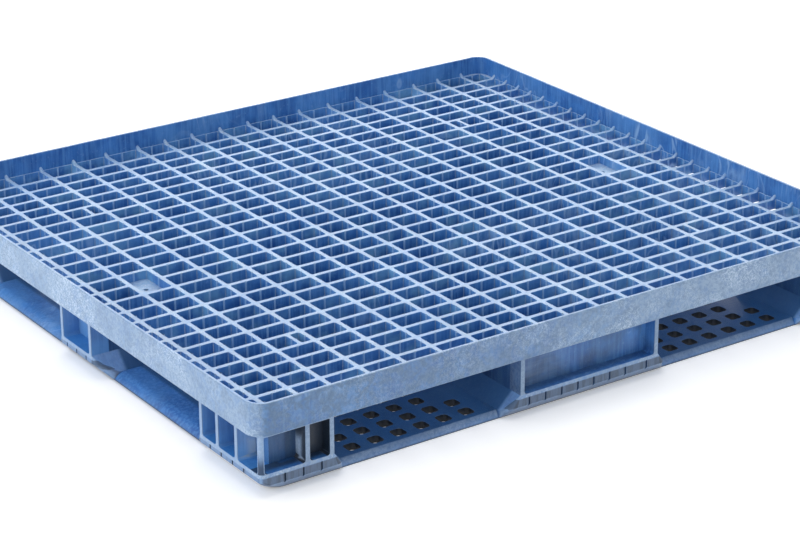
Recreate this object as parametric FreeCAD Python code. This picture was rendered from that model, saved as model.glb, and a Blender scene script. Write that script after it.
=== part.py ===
import FreeCAD, Part
import math
import os
from FreeCAD import Vector

"""Plastic pallet, 1200 x 1100 x 150 mm, with a raised rim round a grating deck.

The frame: +X runs along the 1200 mm side, +Y along the 1100 mm side, +Z is up.
The origin is on the floor, under the middle of the pallet. Front is -Y and left is -X.

From the top down: the rim, the grating, nine hollow legs, nine plinths that the legs
stand on, and twelve flat perforated boards that tie the plinths together. Forks go in
between the legs from all four sides, and wheels drop through the four base windows.
"""

# ---- driving dimensions, mm ----
LENGTH = 1200.0                 # rim, outside, along X
WIDTH = 1100.0                  # rim, outside, along Y
HEIGHT = 150.0                  # floor to rim top

RIM_WALL = 5.0
RIM_CORNER_R = 27.0
RIM_EDGE_R = 2.0                # rounding of the top edge of the rim
SKIRT_BOTTOM = 98.6             # lower edge of the rim

GRATE_TOP = 115.8               # the load stands here
GRATE_BOTTOM = 86.0             # lower edge of the ribs, inside the outermost ribs
BORDER_RIB = 1.6                # thin band that the rib ends share, against the rim's inner face
CORNER_BAND = 7.5               # the same band at the four corner cells, inside the round corners
LONG_RIB = 8.6                  # thickness of the ribs that run along Y
CROSS_RIB = 8.2                 # thickness of the ribs that run along X
# gaps between rib centrelines from the middle outwards, as (how many, how wide)
GAPS_ALONG_X = ((1, 59.6), (2, 56.35), (3, 64.8), (1, 67.4), (2, 56.45))
GAPS_ALONG_Y = ((3, 43.9), (5, 42.35), (4, 38.9))
PAD_DROP = 14.5                 # depth of the two flat pads below the grating top
PAD_PLATE = 3.0
PAD_HOLE_R = 4.0
HALF_CELL_RIB_X = 391.0         # short rib that makes a small square pocket
HALF_CELL_RIB = 7.0

FACE_X = 590.0                  # outer faces of the legs
FACE_Y = 545.0
FACE_CORNER_R = 8.0
TUNNEL_X = (133.0, 466.0)       # fork tunnels that run along Y lie between these
TUNNEL_Y = (49.5, 379.0)        # fork tunnels that run along X lie between these
LEG_WALL = 5.0
LEG_POST = 7.0                  # posts and ribs on the outer faces of the legs
CORNER_DEPTH_FRONT = 27.0       # depths of the outer pockets of the legs
CORNER_DEPTH_NARROW = 20.0
CORNER_DEPTH_LEFT = 31.0
MIDDLE_DEPTH_FRONT = 22.0
MIDDLE_DEPTH_LEFT = 28.0
CORNER_RIB_FRONT = -514.0       # ribs between the pockets of a corner leg: on its front face
CORNER_RIBS_LEFT = (-483.5, -431.5)     # and on its left face
POCKET_BOTTOM_R = 5.0
POCKET_ROOF = 3.0               # closes the outer pockets at the top, behind the rim

PLINTH_TOP = 38.0
BASE_X = 565.0                  # the base on the floor: its outer faces tuck in below at
BASE_Y = 525.7                  # 45 degrees, so that empty pallets nest
BASE_CORNER_R = 28.0
TOE_R_FRONT = 18.0              # rounding of a foot where it turns from a tunnel to the front face
TOE_R_LEFT = 28.0               # or to the left face, at the boards' top. It fades out up and down
TOE_R_LEAST = 0.5
PLINTH_SKIN = 5.0
INNER_RIB = 4.0                 # ribs inside the hollow legs and plinths
BOARD = 12.0                    # thickness of the base boards
BOARD_BEVEL = 6.7               # bevelled outer edge of the front and back boards
BOARD_ROUND = 20.0              # width of the round outer edge of the left and right boards
EDGE_LAND = 2.0                 # upright land under each of them
FOOT = PLINTH_TOP - BOARD       # the 45 degree foot round each plinth

HOLE = 22.0                     # square holes in the boards
HOLE_CORNER_R = 6.5
HOLE_PITCH_LONG = 41.0
HOLES_SHIFT_X = -2.5            # the grids of holes between front and back windows sit off centre
HOLE_ROW_FRONT = -497.0         # first row of holes in the front board
HOLES_MIDDLE_LEFT = -476.0      # middle of the two rows of holes in the left board
HOLE_PITCH_SHORT = 35.6
SLOT = 3.0                      # upright slots in the outer faces of the plinths
SLOT_PITCH = 30.9
SLOT_DEPTH = 18.0
SLOT_BOTTOM = 16.0
SLOT_TOP = 32.0
SLOT_FIRST_CORNER_FRONT = -549.0    # first slot of each row: on a corner plinth's front face,
SLOT_FIRST_CORNER_LEFT = -500.0     # on its left face,
SLOT_FIRST_MIDDLE_FRONT = -116.5    # and on the middle front plinth, whose last slot
SLOT_LAST_MIDDLE_FRONT = 110.8      # stands apart from the row

THIRD_X = TUNNEL_X[0] / 3       # ribs inside the middle legs and plinths
CORNER_RIB_X = -512.0           # ribs inside the corner and side ones
CORNER_RIB_Y = -448.0

TAN_HALF_45 = 0.414             # moves the corners of a skin round a 45 degree face
BIG = 2000.0                    # past the pallet on every side


# ---- small helpers ----
def box(x0, x1, y0, y1, z0, z1):
    """Box between the given limits."""
    return Part.makeBox(x1 - x0, y1 - y0, z1 - z0, Vector(x0, y0, z0))


def outline(x0, x1, y0, y1, radii, z):
    """Closed wire of a rectangle at height z. The radii of its corners start at (x1, y0) and go
    round counterclockwise, and a radius of 0 leaves a sharp corner."""
    corners = ((x1, y0, 1, -1), (x1, y1, 1, 1), (x0, y1, -1, 1), (x0, y0, -1, -1))
    arcs = []
    for index, ((x, y, sx, sy), radius) in enumerate(zip(corners, radii)):
        along_x = Vector(x, y - sy * radius, z)
        along_y = Vector(x - sx * radius, y, z)
        back = radius * (1 - 0.5 ** 0.5)
        middle = Vector(x - sx * back, y - sy * back, z)
        first, last = (along_y, along_x) if index % 2 == 0 else (along_x, along_y)
        arcs.append((first, middle, last))
    edges = []
    for index, (first, middle, last) in enumerate(arcs):
        if radii[index] > 0:
            edges.append(Part.Arc(first, middle, last).toShape())
        following = arcs[(index + 1) % 4][0]
        edges.append(Part.LineSegment(last, following).toShape())
    return Part.Wire(edges)


def rounded_rectangle(x0, x1, y0, y1, radius, z=0.0):
    """Closed wire of a rectangle with four alike round corners, at height z."""
    return outline(x0, x1, y0, y1, (radius,) * 4, z)


def rounded_prism(x0, x1, y0, y1, radius, z0, z1):
    """Upright prism on a rectangle with round corners."""
    face = Part.Face(rounded_rectangle(x0, x1, y0, y1, radius, z0))
    return face.extrude(Vector(0, 0, z1 - z0))


def profile_along_x(points):
    """Prism along X, far past the pallet, from (y, z) corner points."""
    wire = Part.makePolygon([Vector(-BIG, y, z) for y, z in points + points[:1]])
    return Part.Face(wire).extrude(Vector(2 * BIG, 0, 0))


def mirrored(shape, flip_x, flip_y):
    """Mirror image across the middle planes of the pallet."""
    origin = Vector(0, 0, 0)
    if flip_x:
        shape = shape.mirror(origin, Vector(1, 0, 0))
    if flip_y:
        shape = shape.mirror(origin, Vector(0, 1, 0))
    return shape


def centrelines(gaps):
    """Rib centrelines on both sides of the middle, in order."""
    half = [0.0]
    for count, width in gaps:
        for _ in range(count):
            half.append(half[-1] + width)
    return [-value for value in reversed(half[1:])] + half


RIBS_X = centrelines(GAPS_ALONG_X)      # x of the ribs that run along Y
RIBS_Y = centrelines(GAPS_ALONG_Y)      # y of the ribs that run along X
INNER_X = LENGTH / 2 - RIM_WALL
INNER_Y = WIDTH / 2 - RIM_WALL
DEEP_X = RIBS_X[-1] + LONG_RIB / 2      # the ribs are deep inside these limits
DEEP_Y = RIBS_Y[-1] + CROSS_RIB / 2


# ---- top deck ----
def deck_rim():
    """Upright band round the deck: a fence above the grating and a skirt below it."""
    outer = rounded_prism(-LENGTH / 2, LENGTH / 2, -WIDTH / 2, WIDTH / 2,
                          RIM_CORNER_R, SKIRT_BOTTOM, HEIGHT)
    top = [edge for edge in outer.Edges if edge.BoundBox.ZMin > HEIGHT - 0.01]
    outer = outer.makeFillet(RIM_EDGE_R, top)
    inner = rounded_prism(-INNER_X, INNER_X, -INNER_Y, INNER_Y,
                          RIM_CORNER_R - RIM_WALL, SKIRT_BOTTOM - 1, HEIGHT + 1)
    return outer.cut(inner)


def cell_limits(ribs, thickness, border):
    """Clear spans between neighbouring ribs, with the border rib at both ends."""
    half = thickness / 2
    spans = [(-border, ribs[0] - half)]
    spans += [(a + half, b - half) for a, b in zip(ribs, ribs[1:])]
    spans.append((ribs[-1] + half, border))
    return spans


def grating_cells():
    """Plan rectangles of every through cell of the grating."""
    spans_x = cell_limits(RIBS_X, LONG_RIB, INNER_X - BORDER_RIB)
    spans_y = cell_limits(RIBS_Y, CROSS_RIB, INNER_Y - BORDER_RIB)
    pad_x = (RIBS_X[-3], RIBS_X[-2])
    short_x = (RIBS_X[-4], RIBS_X[-3])
    short_y = (RIBS_Y[-6], RIBS_Y[-5])
    corner_x, corner_y = INNER_X - CORNER_BAND, INNER_Y - CORNER_BAND
    for x0, x1 in spans_x:
        centre_x = abs(x0 + x1) / 2
        for y0, y1 in spans_y:
            centre_y = abs(y0 + y1) / 2
            if pad_x[0] < centre_x < pad_x[1] and centre_y < GAPS_ALONG_Y[0][1]:
                continue
            if short_x[0] < centre_x < short_x[1] and short_y[0] < centre_y < short_y[1]:
                side = 1 if x0 > 0 else -1
                low = side * HALF_CELL_RIB_X - HALF_CELL_RIB / 2
                yield x0, low, y0, y1
                yield low + HALF_CELL_RIB, x1, y0, y1
                continue
            if centre_x > RIBS_X[-1] and centre_y > RIBS_Y[-1]:
                yield max(x0, -corner_x), min(x1, corner_x), max(y0, -corner_y), min(y1, corner_y)
                continue
            yield x0, x1, y0, y1


def deck_grating():
    """Grid of ribs inside the rim, with two flat pads over the side legs."""
    wires = [rounded_rectangle(-INNER_X, INNER_X, -INNER_Y, INNER_Y,
                               RIM_CORNER_R - RIM_WALL, GRATE_BOTTOM)]
    pad_y = GAPS_ALONG_Y[0][1] - CROSS_RIB / 2
    pads = []
    for side in (-1, 1):
        edges = sorted((side * (RIBS_X[-3] + LONG_RIB / 2), side * (RIBS_X[-2] - LONG_RIB / 2)))
        pads.append((edges[0], edges[1], -pad_y, pad_y))
    for x0, x1, y0, y1 in list(grating_cells()) + pads:
        corners = [Vector(x, y, GRATE_BOTTOM) for x, y in ((x0, y0), (x0, y1), (x1, y1), (x1, y0))]
        wires.append(Part.makePolygon(corners + corners[:1]))
    grid = Part.Face(wires).extrude(Vector(0, 0, GRATE_TOP - GRATE_BOTTOM))

    shallow = box(-BIG, BIG, -BIG, BIG, GRATE_BOTTOM - 1, SKIRT_BOTTOM)
    shallow = shallow.cut(box(-DEEP_X, DEEP_X, -DEEP_Y, DEEP_Y, 0, HEIGHT))
    grid = grid.cut(shallow)

    pad_top = GRATE_TOP - PAD_DROP
    for x0, x1, y0, y1 in pads:
        plate = box(x0, x1, y0, y1, pad_top - PAD_PLATE, pad_top)
        middle = Vector((x0 + x1) / 2, 0, pad_top - PAD_PLATE - 1)
        plate = plate.cut(Part.makeCylinder(PAD_HOLE_R, PAD_PLATE + 2, middle))
        grid = grid.fuse(plate)
    return grid


# ---- legs ----
def finished_leg(leg):
    """Round the outer corners and take off what the grating's deep ribs fill above."""
    leg = leg.common(rounded_prism(-FACE_X, FACE_X, -FACE_Y, FACE_Y, FACE_CORNER_R, 0, HEIGHT))
    return leg.cut(box(-DEEP_X, DEEP_X, -DEEP_Y, DEEP_Y, GRATE_BOTTOM, HEIGHT))


def pocket(u0, u1, depth, along, face):
    """Cutter for an outer pocket with round lower corners, for the front or left side."""
    r = POCKET_BOTTOM_R
    z0, z1 = PLINTH_TOP, SKIRT_BOTTOM - POCKET_ROOF
    k = r * (1 - 0.5 ** 0.5)

    def at(u, z):
        return Vector(u, -face - 1, z) if along == "x" else Vector(-face - 1, u, z)

    edges = [
        Part.LineSegment(at(u0, z1), at(u0, z0 + r)).toShape(),
        Part.Arc(at(u0, z0 + r), at(u0 + k, z0 + k), at(u0 + r, z0)).toShape(),
        Part.LineSegment(at(u0 + r, z0), at(u1 - r, z0)).toShape(),
        Part.Arc(at(u1 - r, z0), at(u1 - k, z0 + k), at(u1, z0 + r)).toShape(),
        Part.LineSegment(at(u1, z0 + r), at(u1, z1)).toShape(),
        Part.LineSegment(at(u1, z1), at(u0, z1)).toShape(),
    ]
    reach = Vector(0, depth + 1, 0) if along == "x" else Vector(depth + 1, 0, 0)
    return Part.Face(Part.Wire(edges)).extrude(reach)


def hollow(x_walls, y_walls):
    """Cutters for the inner cells of a leg, between wall lines given from side to side."""
    cutters = []
    half_rib = INNER_RIB / 2
    last_x, last_y = len(x_walls) - 2, len(y_walls) - 2
    for i, (x0, x1) in enumerate(zip(x_walls, x_walls[1:])):
        for j, (y0, y1) in enumerate(zip(y_walls, y_walls[1:])):
            west = LEG_WALL if i == 0 else half_rib
            east = LEG_WALL if i == last_x else half_rib
            south = LEG_WALL if j == 0 else half_rib
            north = LEG_WALL if j == last_y else half_rib
            cutters.append(box(x0 + west, x1 - east, y0 + south, y1 - north,
                               PLINTH_TOP - 1, HEIGHT))
    return cutters


def corner_leg():
    """Front left leg: two pockets on the front face and three on the left face."""
    leg = box(-FACE_X, -TUNNEL_X[1], -FACE_Y, -TUNNEL_Y[1], PLINTH_TOP, SKIRT_BOTTOM)
    rib_1, rib_2 = CORNER_RIBS_LEFT
    leg = leg.cut([
        pocket(-FACE_X + LEG_POST, CORNER_RIB_FRONT, CORNER_DEPTH_FRONT, "x", FACE_Y),
        pocket(CORNER_RIB_FRONT + LEG_POST, -TUNNEL_X[1] - LEG_POST, CORNER_DEPTH_NARROW,
               "x", FACE_Y),
        pocket(-FACE_Y + LEG_POST, rib_1, CORNER_DEPTH_LEFT, "y", FACE_X),
        pocket(rib_1 + LEG_POST, rib_2, CORNER_DEPTH_LEFT, "y", FACE_X),
        pocket(rib_2 + LEG_POST, -TUNNEL_Y[1] - LEG_POST, CORNER_DEPTH_LEFT, "y", FACE_X),
    ])
    core_x0, core_y0 = -FACE_X + CORNER_DEPTH_LEFT, -FACE_Y + CORNER_DEPTH_FRONT
    cells = hollow((core_x0, CORNER_RIB_X, -TUNNEL_X[1]), (core_y0, CORNER_RIB_Y, -TUNNEL_Y[1]))
    return finished_leg(leg.cut(cells))


def front_leg():
    """Middle front leg: one wide shallow pocket on the front face."""
    leg = box(-TUNNEL_X[0], TUNNEL_X[0], -FACE_Y, -TUNNEL_Y[1], PLINTH_TOP, SKIRT_BOTTOM)
    leg = leg.cut(pocket(-TUNNEL_X[0] + LEG_POST, TUNNEL_X[0] - LEG_POST,
                         MIDDLE_DEPTH_FRONT, "x", FACE_Y))
    cells = hollow((-TUNNEL_X[0], -THIRD_X, THIRD_X, TUNNEL_X[0]),
                   (-FACE_Y + MIDDLE_DEPTH_FRONT, CORNER_RIB_Y, -TUNNEL_Y[1]))
    return finished_leg(leg.cut(cells))


def left_leg():
    """Middle left leg: one pocket on the left face."""
    leg = box(-FACE_X, -TUNNEL_X[1], -TUNNEL_Y[0], TUNNEL_Y[0], PLINTH_TOP, SKIRT_BOTTOM)
    leg = leg.cut(pocket(-TUNNEL_Y[0] + LEG_POST, TUNNEL_Y[0] - LEG_POST,
                         MIDDLE_DEPTH_LEFT, "y", FACE_X))
    cells = hollow((-FACE_X + MIDDLE_DEPTH_LEFT, CORNER_RIB_X, -TUNNEL_X[1]),
                   (-TUNNEL_Y[0], TUNNEL_Y[0]))
    return finished_leg(leg.cut(cells))


def centre_leg():
    """Middle leg, plain on all four sides."""
    leg = box(-TUNNEL_X[0], TUNNEL_X[0], -TUNNEL_Y[0], TUNNEL_Y[0], PLINTH_TOP, GRATE_BOTTOM)
    cells = hollow((-TUNNEL_X[0], -THIRD_X, THIRD_X, TUNNEL_X[0]), (-TUNNEL_Y[0], TUNNEL_Y[0]))
    return leg.cut(cells)


# ---- base ----
def reach(z, inset, base, face):
    """Distance of the base's outer face from the middle at height z: it tucks in below."""
    return min(base + z - (1 + TAN_HALF_45) * inset, face - inset)


def flare(z, inset):
    """How far a foot stands out from the leg above it at height z, on a tunnel side."""
    return FOOT - inset - max(0.0, z - BOARD + TAN_HALF_45 * inset)


def faded(z, radius, inset):
    """Radius of a foot's toe at height z: the given one at the boards' top, least at the ends."""
    share = z / BOARD if z < BOARD else (PLINTH_TOP - z) / (PLINTH_TOP - BOARD)
    return max(TOE_R_LEAST, TOE_R_LEAST + (radius - TOE_R_LEAST) * share - inset)


def outer_corner(z, inset):
    """Radius of the pallet's own corners at height z, on the base."""
    share = min(1.0, z / (FACE_X - BASE_X))
    return BASE_CORNER_R + (FACE_CORNER_R - BASE_CORNER_R) * share - inset / 2


def corner_foot(z, inset):
    """Outline of the front left plinth at height z."""
    radii = (faded(z, TOE_R_FRONT, inset), 0, faded(z, TOE_R_LEFT, inset), outer_corner(z, inset))
    return outline(-reach(z, inset, BASE_X, FACE_X), -TUNNEL_X[1] + flare(z, inset),
                   -reach(z, inset, BASE_Y, FACE_Y), -TUNNEL_Y[1] + flare(z, inset), radii, z)


def front_foot(z, inset):
    """Outline of the middle front plinth at height z."""
    half = TUNNEL_X[0] + flare(z, inset)
    toe = faded(z, TOE_R_FRONT, inset)
    return outline(-half, half, -reach(z, inset, BASE_Y, FACE_Y),
                   -TUNNEL_Y[1] + flare(z, inset), (toe, 0, 0, toe), z)


def left_foot(z, inset):
    """Outline of the middle left plinth at height z."""
    half = TUNNEL_Y[0] + flare(z, inset)
    toe = faded(z, TOE_R_LEFT, inset)
    return outline(-reach(z, inset, BASE_X, FACE_X), -TUNNEL_X[1] + flare(z, inset),
                   -half, half, (0, 0, toe, toe), z)


def centre_foot(z, inset):
    """Outline of the centre plinth at height z."""
    half_x, half_y = TUNNEL_X[0] + flare(z, inset), TUNNEL_Y[0] + flare(z, inset)
    return outline(-half_x, half_x, -half_y, half_y, (0, 0, 0, 0), z)


def foot_solid(foot, inset):
    """Solid through a plinth's outlines, at each height where one of its sides changes slope."""
    slant = TAN_HALF_45 * inset         # moves those heights so that the skin stays even
    heights = (0.0, BOARD - slant, FACE_Y - BASE_Y + slant, FACE_X - BASE_X + slant,
               PLINTH_TOP - inset)
    return Part.makeLoft([foot(z, inset) for z in heights], True, True)


def slot_row(first, count):
    """Where the slots of one evenly spaced row stand."""
    return [first + SLOT_PITCH * index for index in range(count)]


def slots(places, along, face):
    """Upright slots through the outer face of a plinth, on the front or left side."""
    cutters = []
    for place in places:
        low, high = place - SLOT / 2, place + SLOT / 2
        if along == "x":
            cutters.append(box(low, high, -face, -face + SLOT_DEPTH, SLOT_BOTTOM, SLOT_TOP))
        else:
            cutters.append(box(-face, -face + SLOT_DEPTH, low, high, SLOT_BOTTOM, SLOT_TOP))
    return cutters


def plinth(foot, ribs_x, ribs_y, slot_cutters):
    """Hollow plinth, open below, with ribs inside at the given x and y."""
    inside = foot_solid(foot, PLINTH_SKIN)
    half = INNER_RIB / 2
    inside = inside.cut([box(x - half, x + half, -BIG, BIG, 0, PLINTH_TOP) for x in ribs_x])
    inside = inside.cut([box(-BIG, BIG, y - half, y + half, 0, PLINTH_TOP) for y in ribs_y])
    return foot_solid(foot, 0.0).cut([inside] + slot_cutters)


def corner_plinth():
    """Plinth under the front left leg."""
    cutters = slots(slot_row(SLOT_FIRST_CORNER_FRONT, 3), "x", FACE_Y)
    cutters += slots(slot_row(SLOT_FIRST_CORNER_LEFT, 4), "y", FACE_X)
    return plinth(corner_foot, [CORNER_RIB_X], [CORNER_RIB_Y], cutters)


def front_plinth():
    """Plinth under the middle front leg."""
    row = slot_row(SLOT_FIRST_MIDDLE_FRONT, 7) + [SLOT_LAST_MIDDLE_FRONT]
    return plinth(front_foot, [-THIRD_X, THIRD_X], [CORNER_RIB_Y], slots(row, "x", FACE_Y))


def left_plinth():
    """Plinth under the middle left leg."""
    row = slot_row(-SLOT_PITCH, 3)
    return plinth(left_foot, [CORNER_RIB_X], [0.0], slots(row, "y", FACE_X))


def centre_plinth():
    """Plinth under the middle leg."""
    return plinth(centre_foot, [-THIRD_X, THIRD_X], [0.0], [])


def drilled(board, centre_x, centre_y, columns, rows, pitch_x, pitch_y, short_from=None):
    """Board with a centred grid of square holes with round corners. The rows from short_from
    inwards have no hole in their first and last columns."""
    half = HOLE / 2
    cutters = []
    for column in range(columns):
        x = centre_x + (column - (columns - 1) / 2) * pitch_x
        for row in range(rows):
            if short_from is not None and row >= short_from and column in (0, columns - 1):
                continue
            y = centre_y + (row - (rows - 1) / 2) * pitch_y
            cutters.append(rounded_prism(x - half, x + half, y - half, y + half,
                                         HOLE_CORNER_R, -1, BOARD + 1))
    return board.cut(cutters)


WINDOW_X = (TUNNEL_X[0] + FOOT, TUNNEL_X[1] - FOOT)     # the base windows, left or right
WINDOW_Y = (TUNNEL_Y[0] + FOOT, TUNNEL_Y[1] - FOOT)     # and front or back
MIDDLE_X = sum(WINDOW_X) / 2
MIDDLE_Y = sum(WINDOW_Y) / 2


def front_board():
    """Board between the front left and middle front plinths, with a bevelled outer edge."""
    board = profile_along_x([(-BASE_Y, 0), (-WINDOW_Y[1], 0), (-WINDOW_Y[1], BOARD),
                             (-BASE_Y + BOARD_BEVEL, BOARD), (-BASE_Y, EDGE_LAND)])
    board = board.common(box(-WINDOW_X[1], -WINDOW_X[0], -BIG, BIG, -1, BOARD + 1))
    rows = 4
    centre_y = HOLE_ROW_FRONT + (rows - 1) / 2 * HOLE_PITCH_SHORT
    return drilled(board, -MIDDLE_X + HOLES_SHIFT_X, centre_y, 6, rows,
                   HOLE_PITCH_LONG, HOLE_PITCH_SHORT, short_from=2)


def left_board():
    """Board between the front left and middle left plinths, with a round outer edge."""
    rise = BOARD - EDGE_LAND
    radius = (BOARD_ROUND ** 2 + rise ** 2) / (2 * rise)
    edge_x = -BASE_X + BOARD_ROUND
    half_turn = math.asin(BOARD_ROUND / radius) / 2
    y0, y1 = -WINDOW_Y[1], -WINDOW_Y[0]
    low = Vector(-BASE_X, y0, EDGE_LAND)
    middle = Vector(edge_x - radius * math.sin(half_turn), y0,
                    BOARD - radius + radius * math.cos(half_turn))
    high = Vector(edge_x, y0, BOARD)
    corners = [high, Vector(-WINDOW_X[1], y0, BOARD), Vector(-WINDOW_X[1], y0, 0),
               Vector(-BASE_X, y0, 0), low]
    edges = [Part.Arc(low, middle, high).toShape()]
    edges += [Part.LineSegment(a, b).toShape() for a, b in zip(corners, corners[1:])]
    board = Part.Face(Part.Wire(edges)).extrude(Vector(0, y1 - y0, 0))
    return drilled(board, HOLES_MIDDLE_LEFT, -MIDDLE_Y, 2, 6, HOLE_PITCH_SHORT, HOLE_PITCH_LONG)


def cross_board_left():
    """Board between the middle left and centre plinths."""
    board = box(-WINDOW_X[1], -WINDOW_X[0], -WINDOW_Y[0], WINDOW_Y[0], 0, BOARD)
    return drilled(board, -MIDDLE_X + HOLES_SHIFT_X, 0, 6, 4, HOLE_PITCH_LONG, HOLE_PITCH_SHORT)


def cross_board_front():
    """Board between the middle front and centre plinths."""
    board = box(-WINDOW_X[0], WINDOW_X[0], -WINDOW_Y[1], -WINDOW_Y[0], 0, BOARD)
    return drilled(board, 0, -MIDDLE_Y, 6, 6, HOLE_PITCH_LONG, HOLE_PITCH_LONG)


# ---- the whole pallet ----
def export(name, shape):
    """Write one sub-part, as a plain solid wherever it is one."""
    shape = shape.removeSplitter()
    if len(shape.Solids) != 1:
        raise ValueError(f"{name} has {len(shape.Solids)} solids")
    shape = shape.Solids[0]
    if not shape.isValid():
        raise ValueError(f"{name} is not a valid solid")
    shape.exportStep(f"parts/{name}.step")
    size = shape.optimalBoundingBox(False)
    print(f"{name:20s} {size.XLength:7.1f} {size.YLength:7.1f} {size.ZLength:6.1f} "
          f"{shape.Volume / 1000:8.1f} cm3")
    return shape.Volume


def main():
    os.makedirs("parts", exist_ok=True)
    total = export("deck_rim", deck_rim()) + export("deck_grating", deck_grating())

    for kind, corner, front, left, centre in (
        ("leg", corner_leg(), front_leg(), left_leg(), centre_leg()),
        ("plinth", corner_plinth(), front_plinth(), left_plinth(), centre_plinth()),
    ):
        for flip_y, depth in ((False, "front"), (True, "back")):
            total += export(f"{kind}_{depth}_middle", mirrored(front, False, flip_y))
            for flip_x, side in ((False, "left"), (True, "right")):
                total += export(f"{kind}_{depth}_{side}", mirrored(corner, flip_x, flip_y))
        for flip_x, side in ((False, "left"), (True, "right")):
            total += export(f"{kind}_{side}_middle", mirrored(left, flip_x, False))
        total += export(f"{kind}_centre", centre)

    front, left = front_board(), left_board()
    for flip_y, depth in ((False, "front"), (True, "back")):
        for flip_x, side in ((False, "left"), (True, "right")):
            total += export(f"board_{depth}_{side}", mirrored(front, flip_x, flip_y))
            total += export(f"board_{side}_{depth}", mirrored(left, flip_x, flip_y))
        total += export(f"board_cross_{depth}", mirrored(cross_board_front(), False, flip_y))
    for flip_x, side in ((False, "left"), (True, "right")):
        total += export(f"board_cross_{side}", mirrored(cross_board_left(), flip_x, False))
    print(f"all parts {total / 1000:.0f} cm3")


main()
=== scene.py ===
"""The looks of a blue plastic pallet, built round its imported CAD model.

All lengths are metres in the CAD frame: Z up, the origin on the floor under the middle,
the front at -Y and the left at -X. The pallet is two mouldings, a deck with legs and a
base with plinths and boards, and each CAD node is shown by a moulded copy of itself with
rounded edges. The grating is rebuilt cell by cell from the outlines of the CAD cells.
"""
import math

import bmesh
import bpy
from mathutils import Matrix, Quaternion, Vector, noise
from mathutils.bvhtree import BVHTree
from mathutils.geometry import delaunay_2d_cdt


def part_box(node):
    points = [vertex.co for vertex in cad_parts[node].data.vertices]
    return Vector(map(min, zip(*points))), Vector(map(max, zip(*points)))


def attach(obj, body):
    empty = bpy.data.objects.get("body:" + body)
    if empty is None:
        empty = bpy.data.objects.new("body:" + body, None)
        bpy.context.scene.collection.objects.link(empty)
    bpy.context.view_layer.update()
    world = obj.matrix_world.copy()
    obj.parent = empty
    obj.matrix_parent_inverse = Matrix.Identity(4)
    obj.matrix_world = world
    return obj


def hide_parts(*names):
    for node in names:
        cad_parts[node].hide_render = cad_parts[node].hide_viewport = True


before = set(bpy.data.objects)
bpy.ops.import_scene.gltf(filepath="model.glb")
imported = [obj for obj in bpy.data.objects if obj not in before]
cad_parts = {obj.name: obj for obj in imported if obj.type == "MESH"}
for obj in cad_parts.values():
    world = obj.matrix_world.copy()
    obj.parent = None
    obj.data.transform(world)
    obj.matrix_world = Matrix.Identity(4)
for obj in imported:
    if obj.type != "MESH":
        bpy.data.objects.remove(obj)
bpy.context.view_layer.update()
MM = 0.001

# ---------------------------------------------------------------- shape settings
WELD = 0.01 * MM                # corners closer than this are one corner
SHARP = math.radians(25)        # a fold sharper than this is an edge of the moulding
FLAT = math.radians(0.4)        # faces flatter than this to each other are one face
EDGE_ROUND = 0.9 * MM           # the radius of the outer edges
TOUCHING = 0.05 * MM            # nodes closer than this are one moulding
SMOOTH_BELOW = math.radians(38)
TO_NEIGHBOUR = -0.9             # two faces' normals agree less than this where the faces touch
FACING_UP = 0.99
ROUND_LAYER = "round_marks"             # the face layer that marks
IS_ROUNDED = 1.0                   # rounded outer edges and beads,
IN_SLOT = -1.0                  # and the walls of the plinths' slots
SLOT_HEIGHTS = (15.9 * MM, 32.1 * MM)   # the slots' walls lie between these heights

CELL_CORNER = 3.0 * MM          # the radius of a cell's upright corners
CORNER_STEPS = 4
SHALLOW_BAND = 50 * MM          # the ribs beside the rim are shallow in a band this wide
DRAFT = 0.35 * MM               # how much narrower a cell is at its lower edge
RIB_TOP_ROUND = 0.9 * MM
ROUND_STEP = 0.3                # the middle step of that round edge, as a share of it
BEAD = 1.7 * MM                 # the radius of the upright bead in the middle of each cell wall
BIG_BEAD = 2.6 * MM             # the same on the inner faces of a few ribs
BIG_BEADED_RIBS = (1, 4)        # those ribs, counted from each side's outermost one
SAME_RIB = 1 * MM               # faces closer than this are on one rib
BEAD_STEPS = 4
LEAST_BEADED = 25 * MM          # a shorter cell wall has no bead
WAVE = 0.22 * MM                # how far the ribs' edges wander
WAVES_PER_M = 55.0
OTHER_WAVE = Vector((31.4, 17.2, 0))    # far off in the noise, where it is another wave

HOOK_RUN = 11 * MM              # a rib's end curves up into the rim wall: how far along the rib
HOOK_RISE = 7.5 * MM            # and how high up the wall
HOOK_STEPS = 8
HOOK_ARCH = 6                   # steps across the rib
HOOK_ROOT = 1.0 * MM            # how far a hook reaches into the rib and the wall

PAD_DROP = 14.5 * MM            # the flat pads' depth below the grating top
PAD_PLATE = 3 * MM
PAD_HOLE = 4 * MM
PAD_HOLE_STEPS = 24


# ---------------------------------------------------------------- mesh helpers
def add_piece(name, mesh, material, slot):
    """Puts a mesh in the scene as a piece that rides on the pallet."""
    piece = bpy.data.objects.new(name, mesh)
    bpy.context.scene.collection.objects.link(piece)
    mesh.materials.clear()
    mesh.materials.append(material)
    smooth(piece)
    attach(piece, "root")
    return piece


def smooth(piece):
    """Smooth shading that keeps the flat faces flat and the sharp edges sharp."""
    for polygon in piece.data.polygons:
        polygon.use_smooth = True
    piece.data.set_sharp_from_angle(angle=SMOOTH_BELOW)
    normals = piece.modifiers.new("face_normals", "WEIGHTED_NORMAL")
    normals.keep_sharp = True


def mesh_from(name, points, faces, round_marks=()):
    """A mesh of these faces, with the ones in the round_marks set marked so in their face layer."""
    mesh = bpy.data.meshes.new(name)
    mesh.from_pydata(points, [], faces)
    layer = mesh.attributes.new(ROUND_LAYER, "FLOAT", "FACE")
    for number in round_marks:
        layer.data[number].value = IS_ROUNDED
    mesh.validate()
    return mesh


def welded(node):
    """A copy of a CAD node's mesh whose neighbouring faces share their corners."""
    shape = bmesh.new()
    shape.from_mesh(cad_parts[node].data)
    bmesh.ops.remove_doubles(shape, verts=shape.verts, dist=WELD)
    return shape


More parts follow.
